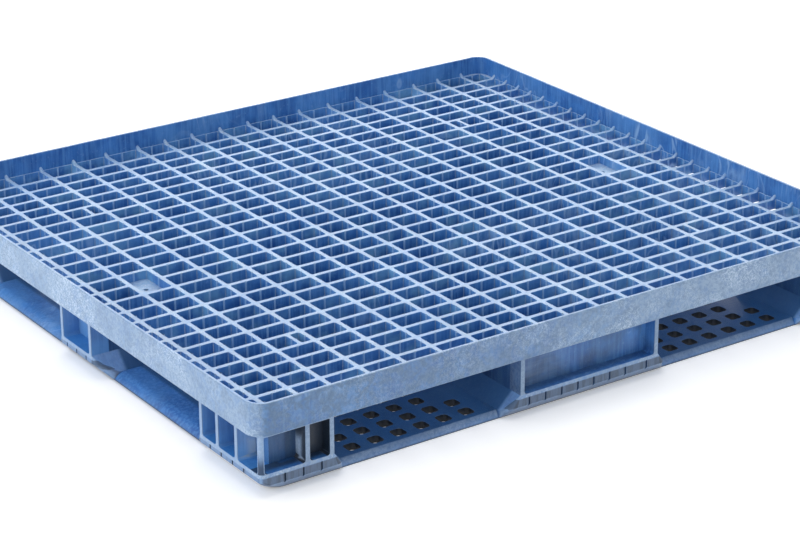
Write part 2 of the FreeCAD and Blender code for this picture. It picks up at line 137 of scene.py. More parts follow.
def tree_of_others(node):
    """A search tree of the faces of every node but this one."""
    others = bmesh.new()
    for name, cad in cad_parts.items():
        if name != node:
            others.from_mesh(cad.data)
    tree = BVHTree.FromBMesh(others)
    others.free()
    return tree


def is_seam(face, others):
    """True for a face that lies on a neighbouring node, where both are one moulding."""
    _, normal, _, gap = others.find_nearest(face.calc_center_median())
    return gap is not None and gap < TOUCHING and normal.dot(face.normal) < TO_NEIGHBOUR


def rounded_copy(node):
    """The node's mesh with its sharp edges rounded, apart from those at its seams."""
    shape = welded(node)
    bmesh.ops.dissolve_limit(
        shape, angle_limit=FLAT, verts=shape.verts, edges=shape.edges, delimit=set()
    )
    shape.normal_update()
    others = tree_of_others(node)
    seams = {face for face in shape.faces if is_seam(face, others)}
    sharp = [
        edge
        for edge in shape.edges
        if len(edge.link_faces) == 2
        and edge.is_convex
        and edge.calc_face_angle(0) > SHARP
        and not seams.intersection(edge.link_faces)
    ]
    round_marks = shape.faces.layers.float.new(ROUND_LAYER)
    for face in shape.faces:
        heights = [corner.co.z for corner in face.verts]
        if SLOT_HEIGHTS[0] < min(heights) and max(heights) < SLOT_HEIGHTS[1]:
            face[round_marks] = IN_SLOT
    made = bmesh.ops.bevel(
        shape, geom=sharp, offset=EDGE_ROUND, offset_type="OFFSET", segments=2,
        profile=0.5, affect="EDGES", clamp_overlap=True,
    )
    for face in made["faces"]:
        face[round_marks] = IS_ROUNDED
    mesh = bpy.data.meshes.new(node + "_moulded")
    shape.to_mesh(mesh)
    shape.free()
    return mesh


# ---------------------------------------------------------------- look settings
NOISE_ROUGHNESS = 0.55
PLASTIC_IOR = 1.5
RELIEF = 0.35 * MM              # the depth of the orange-peel relief
OUTWARD_FROM = 0.10             # a normal times its place, in metres, where a face counts
OUTWARD_FULL = 0.25             # as one that looks outwards
SKIN = 1.5 * MM                 # the outer faces' rubbed skin is this deep
CORNER_ZONE = 34 * MM           # the corners count as skin past an arc of this radius
END_POCKET = 28 * MM            # the depth of the legs' front and back pockets
SIDE_POCKET = 32 * MM           # and of their side pockets
POCKET_FADE = 2 * MM
NARROW_POCKET = 56 * MM         # a corner leg's narrow pocket starts this far from its side
NARROW_FADE = 4 * MM
SHADE_X = 50 * MM               # painted shade: the deck keeps the light off the base from this far in
SHADE_Y = 26 * MM
BOARD_SHADE_Y = 6 * MM
SHADE_FADE = 8 * MM
TOP_BAND = 7 * MM               # the height of the pale band along a plinth's top
TOP_BAND_FADE = 2 * MM
UPWARD = (0.80, 0.95)           # the upward part of the normal of a pocket's floor
BOARD_EDGE = (10 * MM, 4 * MM)  # a board's paler outer edge, rubbed and with painted light, starts and is full this far in
NEAR_TOP = 14 * MM              # painted light: the grating's walls grow paler in a band this high
LIT_POCKET_HEIGHTS = (70 * MM, 45 * MM)        # painted light: the side pockets turn brighter from the first height down
TOE_SHADE_HEIGHTS = (17 * MM, 1 * MM)   # and painted shade turns the plinths' faces darker
HOLE_MARGIN = 0.46              # a hole's wall is nearer a board's middle than this share of it
HOLE_FADE = 0.01

DEEP_BLUE = (0.018, 0.096, 0.330)
BLUE = (0.042, 0.180, 0.500)
PALE_BLUE = (0.110, 0.295, 0.610)
# painted light: the bright blue of the side pockets and their floors
LIT_BLUE = (0.050, 0.250, 0.600)
# chalky streaks, and also painted light in the side pockets and a painted highlight on the beads
CHALK_AND_LIGHT = (0.240, 0.410, 0.670)
TEAL_CHALK = (0.190, 0.430, 0.640)
# the pale colour of rubbed plastic, also painted light on the rim, the boards and the grating
PALE_GREY_BLUE = (0.238, 0.336, 0.478)
BRIGHT_SCRATCH = (0.540, 0.660, 0.810)
DUSTY = (0.090, 0.128, 0.190)
DULL = (0.062, 0.130, 0.240)
# painted shade: the base where the deck keeps the light off, and the paper under the pallet
SHADED = (0.011, 0.060, 0.165)
# painted shade: dim grey in the front and back pockets, the tunnels and the slots
SHADE_GREY = (0.018, 0.034, 0.062)
# dirt, and painted shade low on the plinths' faces
GRIME_AND_SHADE = (0.036, 0.054, 0.082)
# painted shade: near black, in the holes, a narrow pocket and along the lowest edges
BLACK_SHADE = (0.006, 0.007, 0.007)


# ---------------------------------------------------------------- materials
def node_maker(tree):
    """A short way to add a node: its kind, its settings and its inputs by name or number."""

    def make(kind, inputs=None, **settings):
        made = tree.nodes.new(kind)
        for name, value in settings.items():
            setattr(made, name, value)
        for name, value in (inputs or {}).items():
            if isinstance(value, bpy.types.NodeSocket):
                tree.links.new(value, made.inputs[name])
            else:
                made.inputs[name].default_value = value
        return made

    return make


class Pattern:
    """The procedural patterns that the pallet's plastics share."""

    def __init__(self, name):
        self.material = bpy.data.materials.new(name)
        self.material.use_nodes = True
        self.tree = self.material.node_tree
        self.tree.nodes.clear()
        self.make = node_maker(self.tree)
        place = self.make("ShaderNodeTexCoord")
        self.at = place.outputs["Object"]
        self.x, self.y, self.z = self.split(self.at)
        self.nx, self.ny, self.nz = self.split(place.outputs["Normal"])
        self.across, self.along, _ = self.split(place.outputs["Generated"])
        layer = self.make("ShaderNodeAttribute", attribute_name=ROUND_LAYER).outputs["Fac"]
        self.rounded = self.math("MULTIPLY", layer, IS_ROUNDED, clamp=True)
        self.in_slot = self.math("MULTIPLY", layer, IN_SLOT, clamp=True)

    def split(self, vector):
        return self.make("ShaderNodeSeparateXYZ", {0: vector}).outputs

    def math(self, operation, *values, clamp=False):
        return self.make(
            "ShaderNodeMath", dict(enumerate(values)), operation=operation, use_clamp=clamp
        ).outputs[0]

    def times(self, *values):
        product = values[0]
        for value in values[1:]:
            product = self.math("MULTIPLY", product, value)
        return product

    def most(self, *values):
        largest = values[0]
        for value in values[1:]:
            largest = self.math("MAXIMUM", largest, value)
        return largest

    def less(self, value, taken):
        return self.math("SUBTRACT", value, taken)

    def size(self, value):
        return self.math("ABSOLUTE", value)

    def flipped(self, mask):
        """0 where the mask is 1, and 1 where it is 0."""
        return self.less(1.0, mask)

    def between(self, mask, at_0, at_1):
        """A value that goes from at_0 to at_1 as the mask goes from 0 to 1."""
        return self.math("MULTIPLY_ADD", mask, at_1 - at_0, at_0)

    def ramp(self, value, low, high):
        """0 at low and 1 at high, with a smooth step between them."""
        return self.make(
            "ShaderNodeMapRange",
            {"Value": value, "From Min": low, "From Max": high},
            interpolation_type="SMOOTHSTEP",
        ).outputs[0]

    def noise(self, scale, detail=3.0, distortion=0.0, stretch=None):
        vector = self.at
        if stretch:
            vector = self.make("ShaderNodeMapping", {"Vector": vector, "Scale": stretch}).outputs[0]
        return self.make(
            "ShaderNodeTexNoise",
            {
                "Vector": vector, "Scale": scale, "Detail": detail,
                "Roughness": NOISE_ROUGHNESS, "Distortion": distortion,
            },
        ).outputs["Fac"]

    def patches(self, scale, low, high, detail=3.0, distortion=0.0, stretch=None):
        """Cloudy patches, which are larger the lower their two levels of the noise are."""
        return self.ramp(self.noise(scale, detail, distortion, stretch), low, high)

    def lines(self, scale, width, distortion, stretch=None):
        """Thin curved lines, where a bent noise crosses its middle value."""
        value = self.noise(scale, 2.0, distortion, stretch)
        return self.flipped(self.ramp(self.size(self.less(value, 0.5)), 0.0, width))

    def mix(self, factor, first, second):
        made = self.make("ShaderNodeMix", {"Factor": factor}, data_type="RGBA")
        for socket, colour in (("A", first), ("B", second)):
            target = [s for s in made.inputs if s.name == socket and s.type == "RGBA"][0]
            if isinstance(colour, bpy.types.NodeSocket):
                self.tree.links.new(colour, target)
            else:
                target.default_value = (*colour, 1.0)
        return [s for s in made.outputs if s.type == "RGBA"][0]

    def blend(self, colour, other, share, *masks):
        """The colour with this share of another one, where all the masks are 1."""
        return self.mix(self.times(*masks, share), colour, other)

    def slanting(self):
        """1 where a face lies along none of the axes, as on a rounded edge."""
        most = self.most(self.size(self.nx), self.size(self.ny), self.size(self.nz))
        return self.ramp(self.flipped(most), 0.03, 0.22)

    def facing_out(self):
        """1 on upright faces that look away from the middle of the pallet."""
        outward = self.math("ADD", self.times(self.nx, self.x), self.times(self.ny, self.y))
        return self.ramp(outward, OUTWARD_FROM, OUTWARD_FULL)

    def near_skin(self, half_x, half_y):
        """1 at the upright outer faces of a box with round corners, and in its corners."""
        past = []
        for place, half in ((self.x, half_x), (self.y, half_y)):
            past.append(self.most(self.less(self.size(place), half - CORNER_ZONE), 0.0))
        squares = [self.times(run, run) for run in past]
        length = self.math("SQRT", self.math("ADD", *squares))
        return self.ramp(length, CORNER_ZONE - SKIN, CORNER_ZONE - SKIN / 2)

    def upright(self):
        return self.flipped(self.ramp(self.size(self.nz), 0.3, 0.6))

    def in_end_band(self, half_y):
        """1 in the band along the front and back, as deep as the pockets there."""
        return self.ramp(self.size(self.y), half_y - END_POCKET, half_y - END_POCKET + POCKET_FADE)

    def show(self, shader):
        output = self.make("ShaderNodeOutputMaterial")
        self.tree.links.new(shader.outputs[0], output.inputs["Surface"])
        return self.material

    def finish(self, colour, roughness, height, depth):
        bump = self.make(
            "ShaderNodeBump", {"Height": height, "Distance": depth, "Strength": 1.0}
        )
        return self.show(self.make(
            "ShaderNodeBsdfPrincipled",
            {
                "Base Color": colour, "Roughness": roughness,
                "Normal": bump.outputs[0], "IOR": PLASTIC_IOR,
            },
        ))


def base_colour(p, streaks):
    """Reground blue polypropylene: mottled, with fine upright drag lines and flow streaks."""
    mottle = p.noise(24.0, 4.0)
    colour = p.mix(p.ramp(mottle, 0.30, 0.70), DEEP_BLUE, BLUE)
    tide = p.noise(3.2, 3.0, 0.8)
    colour = p.blend(colour, PALE_BLUE, 0.38, p.ramp(tide, 0.50, 0.66))
    colour = p.blend(colour, DEEP_BLUE, 0.45, p.ramp(tide, 0.50, 0.36))
    drag = p.patches(190.0, 0.42, 0.64, detail=2.0, stretch=(1.0, 1.0, 0.06))
    colour = p.blend(colour, PALE_BLUE, 0.42, drag)
    cloud = p.patches(6.5, 0.50, 0.72, distortion=0.6)
    colour = p.blend(colour, PALE_BLUE, 0.40, cloud)
    flow = p.patches(11.0, 0.52, 0.72, detail=5.0, distortion=2.2, stretch=(1.0, 1.0, 0.3))
    veins = p.lines(8.0, 0.030, 3.0, stretch=(1.0, 1.0, 0.35))
    where = p.patches(3.1, 0.49, 0.64, detail=2.0)
    colour = p.blend(colour, CHALK_AND_LIGHT, streaks, p.most(flow, veins), where)
    speck = p.patches(150.0, 0.60, 0.74, distortion=0.4)
    return p.blend(colour, CHALK_AND_LIGHT, 0.25, speck), mottle


def scuffed(p, colour, paleness, scratches, patchy=0.30, grain=0.50):
    """The colour made paler by this share, unevenly, and fine bright curved scratches in it. The
    share is rubbing, and on the rim, boards and grating partly painted light.
    """
    uneven = p.patches(14.0, 0.3, 0.7, detail=4.0, distortion=1.0)
    uneven = p.between(uneven, 1.0 - patchy, 1.0)
    grainy = p.patches(210.0, 0.38, 0.62, detail=2.0, distortion=0.8)
    grainy = p.between(grainy, 1.0 - grain / 2, 1.0 + grain / 2)
    paleness = p.math("MULTIPLY", p.times(paleness, uneven), grainy, clamp=True)
    colour = p.mix(paleness, colour, PALE_GREY_BLUE)
    swirls = p.most(p.lines(60.0, 0.030, 2.4), p.lines(110.0, 0.040, 1.8))
    rubbed = p.patches(9.0, 0.38, 0.60, detail=2.0)
    return p.blend(colour, BRIGHT_SCRATCH, scratches, swirls, rubbed, paleness), paleness, swirls


def dirty(p, colour, amount):
    return p.blend(colour, GRIME_AND_SHADE, amount, p.patches(12.0, 0.38, 0.70, detail=5.0, distortion=0.8))


def contact_shade_line(p, colour):
    """Painted shade: a dark line along the lowest edge, where it meets the floor."""
    low = p.flipped(p.ramp(p.z, 0.5 * MM, 3.5 * MM))
    return p.blend(colour, BLACK_SHADE, 0.75, low)


def under_deck(p, half_x, half_y, shade_y):
    """1 well inside the base, where the deck keeps the light off and dirt gathers: the mask of
    painted shade.
    """
    past_x = p.less(p.size(p.x), half_x - SHADE_X)
    past_y = p.less(p.size(p.y), half_y - shade_y)
    return p.flipped(p.ramp(p.most(past_x, past_y), 0.0, SHADE_FADE))


def surface(p, colour, mottle, paleness, swirls):
    """Satin gloss, duller where it is paler, with an orange-peel and scratched relief."""
    fine = p.noise(160.0, 3.0, 0.4)
    roughness = p.between(paleness, 0.34, 0.56)
    roughness = p.math("MULTIPLY_ADD", p.less(mottle, 0.5), 0.16, roughness, clamp=True)
    height = p.math("MULTIPLY_ADD", fine, 0.25, mottle)
    height = p.math("MULTIPLY_ADD", swirls, -0.2, height)
    return p.finish(colour, roughness, height, RELIEF)


def rim_plastic(half_x):
    """The rim: rubbed pale outside and on its top edge, painted paler to the right and on its ends
    as painted light. Blue inside.
    """
    p = Pattern("rim_plastic")
    colour, mottle = base_colour(p, 0.9)
    patchy = p.patches(55.0, 0.36, 0.64, detail=4.0, distortion=1.2)
    colour = p.blend(colour, DULL, p.between(patchy, 0.35, 0.95), p.facing_out())
    # painted light: the outer faces painted paler on the ends and towards the right, on top of
    # their rubbing
    ends = p.ramp(p.size(p.nx), 0.15, 0.75)
    sideways = p.ramp(p.x, -half_x, half_x * 0.6)
    skin = p.most(p.between(sideways, 0.18, 0.90), p.times(ends, 0.92))
    skin = p.times(p.facing_out(), skin)
    paleness = p.most(skin, p.times(p.ramp(p.nz, 0.25, 0.6), 0.92), p.times(p.rounded, 0.9))
    colour, paleness, swirls = scuffed(p, colour, paleness, 0.8, patchy=0.40, grain=0.55)
    return surface(p, colour, mottle, paleness, swirls)


def grating_plastic(top):
    """The grating: rib tops rubbed pale, walls blue with chalky patches, painted light on the walls
    near the top, and painted highlights on the beads, the cell corners and the rounded rib edges,
    which are partly rubbed.
    """
    p = Pattern("grating_plastic")
    colour, mottle = base_colour(p, 0.85)
    colour = p.blend(colour, TEAL_CHALK, 0.52, p.patches(18.0, 0.50, 0.68))
    # painted light: the walls paler towards the top of the cells
    colour = p.blend(colour, PALE_BLUE, 0.25, p.ramp(p.z, top - NEAR_TOP, top))
    # painted highlight: the beads painted pale
    colour = p.blend(colour, CHALK_AND_LIGHT, 0.85, p.rounded)
    # painted highlight on the rounded rib edges and cell corners, partly rubbing
    slanting = p.times(p.slanting(), p.flipped(p.rounded), 0.70)
    paleness = p.most(p.times(p.ramp(p.nz, 0.45, 0.9), 0.88), slanting)
    colour, paleness, swirls = scuffed(p, colour, paleness, 0.45)
    return surface(p, colour, mottle, paleness, swirls)


def leg_plastic(half_x, half_y, tunnel_x, tunnel_y):
    """The legs: posts rubbed pale, side pockets bright with painted light, front and back pockets
    and tunnels dim with painted shade.
    The middle front and back pockets are dusty on their left."""
    p = Pattern("leg_plastic")
    skin = p.most(p.near_skin(half_x, half_y), p.times(p.slanting(), p.facing_out()))
    skin = p.times(skin, p.upright())
    in_end = p.times(p.in_end_band(half_y), p.flipped(skin))
    side_start = half_x - SIDE_POCKET
    in_side = p.ramp(p.size(p.x), side_start, side_start + POCKET_FADE)
    colour, mottle = base_colour(p, p.times(p.flipped(in_end), 0.7))
    side_only = p.times(in_side, p.flipped(in_end))
    # painted light: the side pockets brighter, the more so lower down, and paler still in the next
    # line
    colour = p.blend(colour, LIT_BLUE, 0.6, side_only, p.ramp(p.z, *LIT_POCKET_HEIGHTS))
    colour = p.blend(colour, CHALK_AND_LIGHT, 0.28, side_only)
    corner = p.ramp(p.size(p.x), tunnel_x, tunnel_x + 5 * MM)
    # painted shade: the front and back pockets beside the tunnels dim
    colour = p.blend(colour, SHADE_GREY, 0.80, in_end, corner)
    narrow_start = half_x - NARROW_POCKET
    narrow = p.ramp(p.size(p.x), narrow_start, narrow_start - NARROW_FADE)
    # painted shade: the corner legs' narrow pockets near black
    colour = p.blend(colour, BLACK_SHADE, 0.75, in_end, corner, narrow)
    layers = p.patches(210.0, 0.40, 0.62, detail=4.0, distortion=0.6, stretch=(0.06, 1.0, 1.0))
    dusty = p.times(in_end, p.flipped(corner), p.ramp(p.x, tunnel_y, -tunnel_x / 2))
    colour = p.blend(colour, DUSTY, 0.85, dusty)
    colour = p.blend(colour, PALE_GREY_BLUE, 0.38, dusty, layers)
    colour = dirty(p, colour, p.between(in_end, 0.10, 0.60))
    # painted shade: the walls facing the tunnels dim
    colour = p.blend(colour, SHADE_GREY, 0.62, p.flipped(in_end), p.flipped(in_side))
    paleness = p.most(p.times(skin, 0.84), p.times(p.rounded, 0.6))
    colour, paleness, swirls = scuffed(p, colour, paleness, 0.25, patchy=0.20, grain=0.25)
    return surface(p, colour, mottle, paleness, swirls)


def pocket_floors(p, colour, outside, half_x, half_y):
    """The plinths' tops under the pockets: painted light, sky blue, at the sides, and painted shade
    at the front and back.
    """
    floor = p.times(p.ramp(p.nz, *UPWARD), outside)
    at_end = p.in_end_band(half_y)
    depth = p.ramp(p.size(p.y), half_y - 3 * MM, half_y - 15 * MM)
    corner = p.ramp(p.size(p.x), half_x * 0.50, half_x * 0.52)
    dim = p.times(depth, p.between(corner, 0.45, 0.85))
    # painted light on the floors of the side pockets
    colour = p.blend(colour, LIT_BLUE, 0.55, floor, p.flipped(at_end))
    # painted shade on the floors of the front and back pockets
    return p.blend(colour, SHADE_GREY, dim, floor, at_end)


def plinth_plastic(half_x, half_y, top):
    """The plinths: dusty and streaked outside, with a paler band along the top, painted shade low
    on the outer faces, inwards under the deck and in the slots.
    """
    p = Pattern("plinth_plastic")
    colour, mottle = base_colour(p, 0.6)
    colour = p.blend(colour, CHALK_AND_LIGHT, 0.35, p.slanting())
    inner = under_deck(p, half_x, half_y, SHADE_Y)
    outside = p.flipped(inner)
    outer_face = p.times(outside, p.facing_out())
    band_start = top - TOP_BAND
    high = p.ramp(p.z, band_start, band_start + TOP_BAND_FADE)
    ends = p.ramp(p.size(p.nx), 0.3, 0.9)
    face = p.times(outer_face, p.flipped(high), p.between(ends, 1.0, 0.45))
    face = p.times(face, p.between(p.slanting(), 1.0, 0.55))
    colour = p.blend(colour, CHALK_AND_LIGHT, 0.40, outer_face, ends)
    colour = p.blend(colour, DUSTY, 0.88, face)
    drips = p.patches(170.0, 0.44, 0.62, stretch=(1.0, 1.0, 0.10))
    colour = p.blend(colour, GRIME_AND_SHADE, 0.50, face, drips)
    # painted shade: the outer faces darker towards the floor
    colour = p.blend(colour, GRIME_AND_SHADE, 0.70, face, p.ramp(p.z, *TOE_SHADE_HEIGHTS))
    colour = pocket_floors(p, colour, outside, half_x, half_y)
    # painted shade where the deck keeps the light off
    colour = p.blend(colour, SHADED, 0.84, inner)
    paleness = p.most(
        p.times(outer_face, high, 0.85),
        p.times(p.slanting(), outside, 0.2),
        p.times(p.rounded, outside, 0.5),
    )
    colour, paleness, swirls = scuffed(p, colour, paleness, 0.5)
    # painted shade in the slots
    colour = p.blend(colour, SHADE_GREY, 0.65, p.in_slot)
    return surface(p, contact_shade_line(p, colour), mottle, paleness, swirls)


def board_plastic(half_x, half_y):
    """The boards: dull, with painted shade inwards, paler at the outer edge from rubbing and
    painted light, and painted black shade in the holes.
    """
    p = Pattern("board_plastic")
    colour, mottle = base_colour(p, 0.5)
    # painted shade where the deck keeps the light off
    colour = p.blend(colour, SHADED, 0.86, under_deck(p, half_x, half_y, BOARD_SHADE_Y))
    colour = dirty(p, colour, 0.2)
    # the outer edge paler: rubbing, and painted light where the light reaches under the deck
    edge = p.ramp(p.size(p.y), half_y - BOARD_EDGE[0], half_y - BOARD_EDGE[1])
    paleness = p.most(p.times(edge, 0.42), p.times(p.rounded, 0.25))
    colour, paleness, swirls = scuffed(p, colour, paleness, 0.5)
    insets = [p.less(HOLE_MARGIN, p.size(p.less(share, 0.5))) for share in (p.across, p.along)]
    in_holes = p.times(*(p.ramp(inset, 0.0, HOLE_FADE) for inset in insets), p.upright())
    # painted shade: the holes' walls near black
    colour = p.blend(colour, BLACK_SHADE, 0.92, in_holes)
    return surface(p, contact_shade_line(p, colour), mottle, paleness, swirls)


def half_size(node):
    low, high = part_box(node)
    return max(-low.x, high.x), max(-low.y, high.y)


MATERIALS = {
    "rim": rim_plastic(half_size("deck_rim")[0]),
    "grating": grating_plastic(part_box("deck_grating")[1].z),
    "leg": leg_plastic(*half_size("leg_front_left"), -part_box("leg_front_left")[1].x,
                       -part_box("leg_centre")[0].y),
    "plinth": plinth_plastic(*half_size("plinth_front_left"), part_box("plinth_centre")[1].z),
    "board": board_plastic(half_size("board_left_front")[0], half_size("board_front_left")[1]),
}
SLOT = {"rim": "deck_plastic", "grating": "deck_plastic", "leg": "leg_plastic",
        "plinth": "base_plastic", "board": "base_plastic"}


# ---------------------------------------------------------------- rim, legs, plinths, boards
def family(node):
    return next(kind for kind in MATERIALS if kind in node)


def dress_mouldings():
    """Shows every node but the grating as a copy with rounded edges."""
    for node in sorted(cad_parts):
        kind = family(node)
        if kind == "grating":
            continue
        piece = add_piece(node + "_moulding", rounded_copy(node), MATERIALS[kind], SLOT[kind])
        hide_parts(node)


# ---------------------------------------------------------------- grating
def loops_of(edges):
    """The closed loops that a set of edges makes, each as a list of corners in order."""
    links = {}
    for edge in edges:
        for here, there in (edge.verts, reversed(edge.verts)):
            links.setdefault(here, []).append(there)
    loops = []
    while links:
        here = next(iter(links))
        loop = []
        while here is not None:
            loop.append(here.co.copy())
            onward = [v for v in links.pop(here) if v in links]
            here = onward[0] if onward else None
        loops.append(loop)
    return loops


def read_grating():
    """The outline of the CAD grating's top, its cells and the floors of its pads."""
    shape = welded("deck_grating")
    shape.normal_update()
    top = max(v.co.z for v in shape.verts)
    up = [face for face in shape.faces if face.normal.z > FACING_UP]
    is_top = {face: abs(face.calc_center_median().z - top) < TOUCHING for face in up}
    rim_edges = [
        edge
        for edge in shape.edges
        if sum(1 for face in edge.link_faces if is_top.get(face, False)) == 1
    ]
    loops = sorted(loops_of(rim_edges), key=lambda loop: -spread(loop))
    pads = [face.calc_center_median() for face in up if not is_top[face]]
    shape.free()
    return top, loops[0], [rectangle(loop) for loop in loops[1:]], pads


def spread(loop):
    west, east, south, north = rectangle(loop)
    return (east - west) * (north - south)


def rectangle(loop):
    xs = [point.x for point in loop]
    ys = [point.y for point in loop]
    return min(xs), max(xs), min(ys), max(ys)


def cell_ring(cell, inset, beads):
    """A cell's outline moved in by inset: round corners, and a bead in the middle of each wall."""
    west, east, south, north = cell
    corner = CELL_CORNER - inset
    west, east, south, north = west + inset, east - inset, south + inset, north - inset
    centres = [
        (east - corner, south + corner), (east - corner, north - corner),
        (west + corner, north - corner), (west + corner, south + corner),
    ]
    walls = [
        ((west, south), (east, south)), ((east, south), (east, north)),
        ((east, north), (west, north)), ((west, north), (west, south)),
    ]
    ring = []
    for side, ((x0, y0), (x1, y1)) in enumerate(walls):
        length = math.hypot(x1 - x0, y1 - y0)
        along = ((x1 - x0) / length, (y1 - y0) / length)
        inward = (-along[1], along[0])
        middle = ((x0 + x1) / 2, (y0 + y1) / 2)
        size = beads[side]
        for step in range(BEAD_STEPS + 1 if size else 0):
            turn = math.pi * step / BEAD_STEPS
            run, rise = -math.cos(turn) * size, math.sin(turn) * size
            ring.append((
                middle[0] + along[0] * run + inward[0] * rise,
                middle[1] + along[1] * run + inward[1] * rise,
            ))
        first = math.pi * (side - 1) / 2
        for step in range(CORNER_STEPS + 1):
            angle = first + math.pi / 2 * step / CORNER_STEPS
            ring.append((
                centres[side][0] + corner * math.cos(angle),
                centres[side][1] + corner * math.sin(angle),
            ))
    return ring


def bead_steps(beads):
    """The places in a cell_ring whose step to the next place runs over a bead."""
    places, start = set(), 0
    for size in beads:
        if size:
            places.update(range(start, start + BEAD_STEPS))
            start += BEAD_STEPS + 1
        start += CORNER_STEPS + 1
    return places


def wander(x, y):
    """A small sideways move of a rib's edge, the same at each height."""
    where = Vector((x * WAVES_PER_M, y * WAVES_PER_M, 0))
    return WAVE * noise.noise(where), WAVE * noise.noise(where + OTHER_WAVE)


def bead_sizes(cell, big_faces):
    """The bead on each wall of a cell, in cell_ring's order. A few ribs have larger ones."""
    west, east, south, north = cell
    long_enough = [east - west, north - south, east - west, north - south]
    sizes = [BEAD if length > LEAST_BEADED else 0.0 for length in long_enough]
    if sizes[3] and west < 0 and any(abs(west - x) < SAME_RIB for x in big_faces):
        sizes[3] = BIG_BEAD
    if sizes[1] and east > 0 and any(abs(east - x) < SAME_RIB for x in big_faces):
        sizes[1] = BIG_BEAD
    return sizes


def wall_levels(top, bottom):
    """The insets and heights down a cell's wall, with its rounded upper and lower edges."""
    edge, step = RIB_TOP_ROUND, RIB_TOP_ROUND * ROUND_STEP
    return [
        (-edge, top), (-step, top - step), (0.0, top - edge),
        (DRAFT, bottom + edge), (DRAFT - step, bottom + step), (DRAFT - edge, bottom),
    ]


def grating_mesh(name, top, outline, cells):
    """The grid of ribs round these cells: deep ribs, and shallow ones beside the rim."""
    low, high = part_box("deck_grating")
    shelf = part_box("deck_rim")[0].z
    points, faces, upper, lower, round_marks = [], [], [], [], set()
    faces_x = sorted({round(cell[0], 4) for cell in cells if cell[0] < 0})
    big_faces = [sign * faces_x[number + 1] for number in BIG_BEADED_RIBS for sign in (1, -1)]

    def add_ring(ring, z):
        start = len(points)
        for x, y in ring:
            dx, dy = wander(x, y)
            points.append((x + dx, y + dy, z))
        return list(range(start, len(points)))

    for cell in cells:
        beads = bead_sizes(cell, big_faces)
        deep = abs(cell[0] + cell[1]) / 2 < high.x - SHALLOW_BAND
        deep = deep and abs(cell[2] + cell[3]) / 2 < high.y - SHALLOW_BAND
        bottom = low.z if deep else shelf
        levels = wall_levels(top, bottom)
        rings = [add_ring(cell_ring(cell, inset, beads), z) for inset, z in levels]
        on_bead = bead_steps(beads)
        for over, under in zip(rings, rings[1:]):
            for i, here in enumerate(over):
                nxt = (i + 1) % len(over)
                if i in on_bead:
                    round_marks.add(len(faces))
                faces.append((here, over[nxt], under[nxt], under[i]))
        upper.append(rings[0])
        lower.append(rings[-1])

    outer_top = add_plain_ring(points, outline, top)
    outer_low = add_plain_ring(points, outline, shelf)
    for i, here in enumerate(outer_top):
        nxt = (i + 1) % len(outer_top)
        faces.append((here, outer_low[i], outer_low[nxt], outer_top[nxt]))
    faces += plate(points, upper + [outer_top], facing_up=True)
    faces += plate(points, lower + [outer_low], facing_up=False)
    return mesh_from(name, points, faces, round_marks)


def add_plain_ring(points, outline, z):
    start = len(points)
    points.extend((point.x, point.y, z) for point in outline)
    return list(range(start, len(points)))


SAME_CORNER = 1e-7              # metres apart


def plate(points, rings, facing_up):
    """The face between the cells, as triangles that use only the rings' own corners."""
    ids = [i for ring in rings for i in ring]
    place = {i: n for n, i in enumerate(ids)}
    flat = [Vector(points[i][:2]) for i in ids]
    borders = [
        (place[here], place[there])
        for ring in rings
        for here, there in zip(ring, ring[1:] + ring[:1])
    ]
    where, _, triangles, sources = delaunay_2d_cdt(flat, borders, [], 0, SAME_CORNER)[:4]
    ring_of = {}
    for number, ring in enumerate(rings):
        for i in ring:
            ring_of[i] = number
    last = len(rings) - 1
    made = []
    for triangle in triangles:
        own = [ids[sources[v][0]] for v in triangle]
        owners = {ring_of[i] for i in own}
        if len(owners) == 1:
            number = owners.pop()
            middle = sum((where[v] for v in triangle), Vector((0, 0))) / 3
            if number != last or not inside_rings(middle, points, rings[last]):
                continue
        first, second, third = (where[v] for v in triangle)
        turn = (second - first).cross(third - first)
        made.append(tuple(own) if (turn > 0) == facing_up else tuple(reversed(own)))
    return made


def inside_rings(middle, points, ring):
    """True if a point lies inside a ring."""
    inside = False
    for n, i in enumerate(ring):
        x0, y0, _ = points[i]
        x1, y1, _ = points[ring[(n + 1) % len(ring)]]
        if (y0 > middle.y) != (y1 > middle.y):
            if middle.x < x0 + (middle.y - y0) * (x1 - x0) / (y1 - y0):
                inside = not inside
    return inside


def pad_mesh(name, cell, top):
    """A flat plate with a round hole, let into a cell below the grating top."""
    west, east, south, north = cell
    plate_top = top - PAD_DROP
    middle = ((west + east) / 2, (south + north) / 2)
    turns = [math.tau * step / PAD_HOLE_STEPS for step in range(PAD_HOLE_STEPS)]
    hole = [
        (middle[0] + PAD_HOLE * math.cos(turn), middle[1] + PAD_HOLE * math.sin(turn))
        for turn in turns
    ]
    rings = [(hole, EDGE_ROUND / 2), (cell_ring(cell, -HOOK_ROOT, (0, 0, 0, 0)), 0.0)]
    points, faces, tops, lows = [], [], [], []
    for number, (ring, edge) in enumerate(rings):
        levels = sorted({plate_top, plate_top - edge, plate_top - PAD_PLATE}, reverse=True)
        indices = []
        for z in levels:
            grow = 1 + edge / PAD_HOLE if z == plate_top and edge else 1.0
            indices.append(list(range(len(points), len(points) + len(ring))))
            for x, y in ring:
                run_x, run_y = x - middle[0], y - middle[1]
                points.append((middle[0] + run_x * grow, middle[1] + run_y * grow, z))
        for over, under in zip(indices, indices[1:]):
            for i, here in enumerate(over):
                nxt = (i + 1) % len(over)
                side = (here, over[nxt], under[nxt], under[i])
                faces.append(side if number == 0 else tuple(reversed(side)))
        tops.append(indices[0])
        lows.append(indices[-1])
    faces += plate(points, tops, facing_up=True)
    faces += plate(points, lows, facing_up=False)
    return mesh_from(name, points, faces)


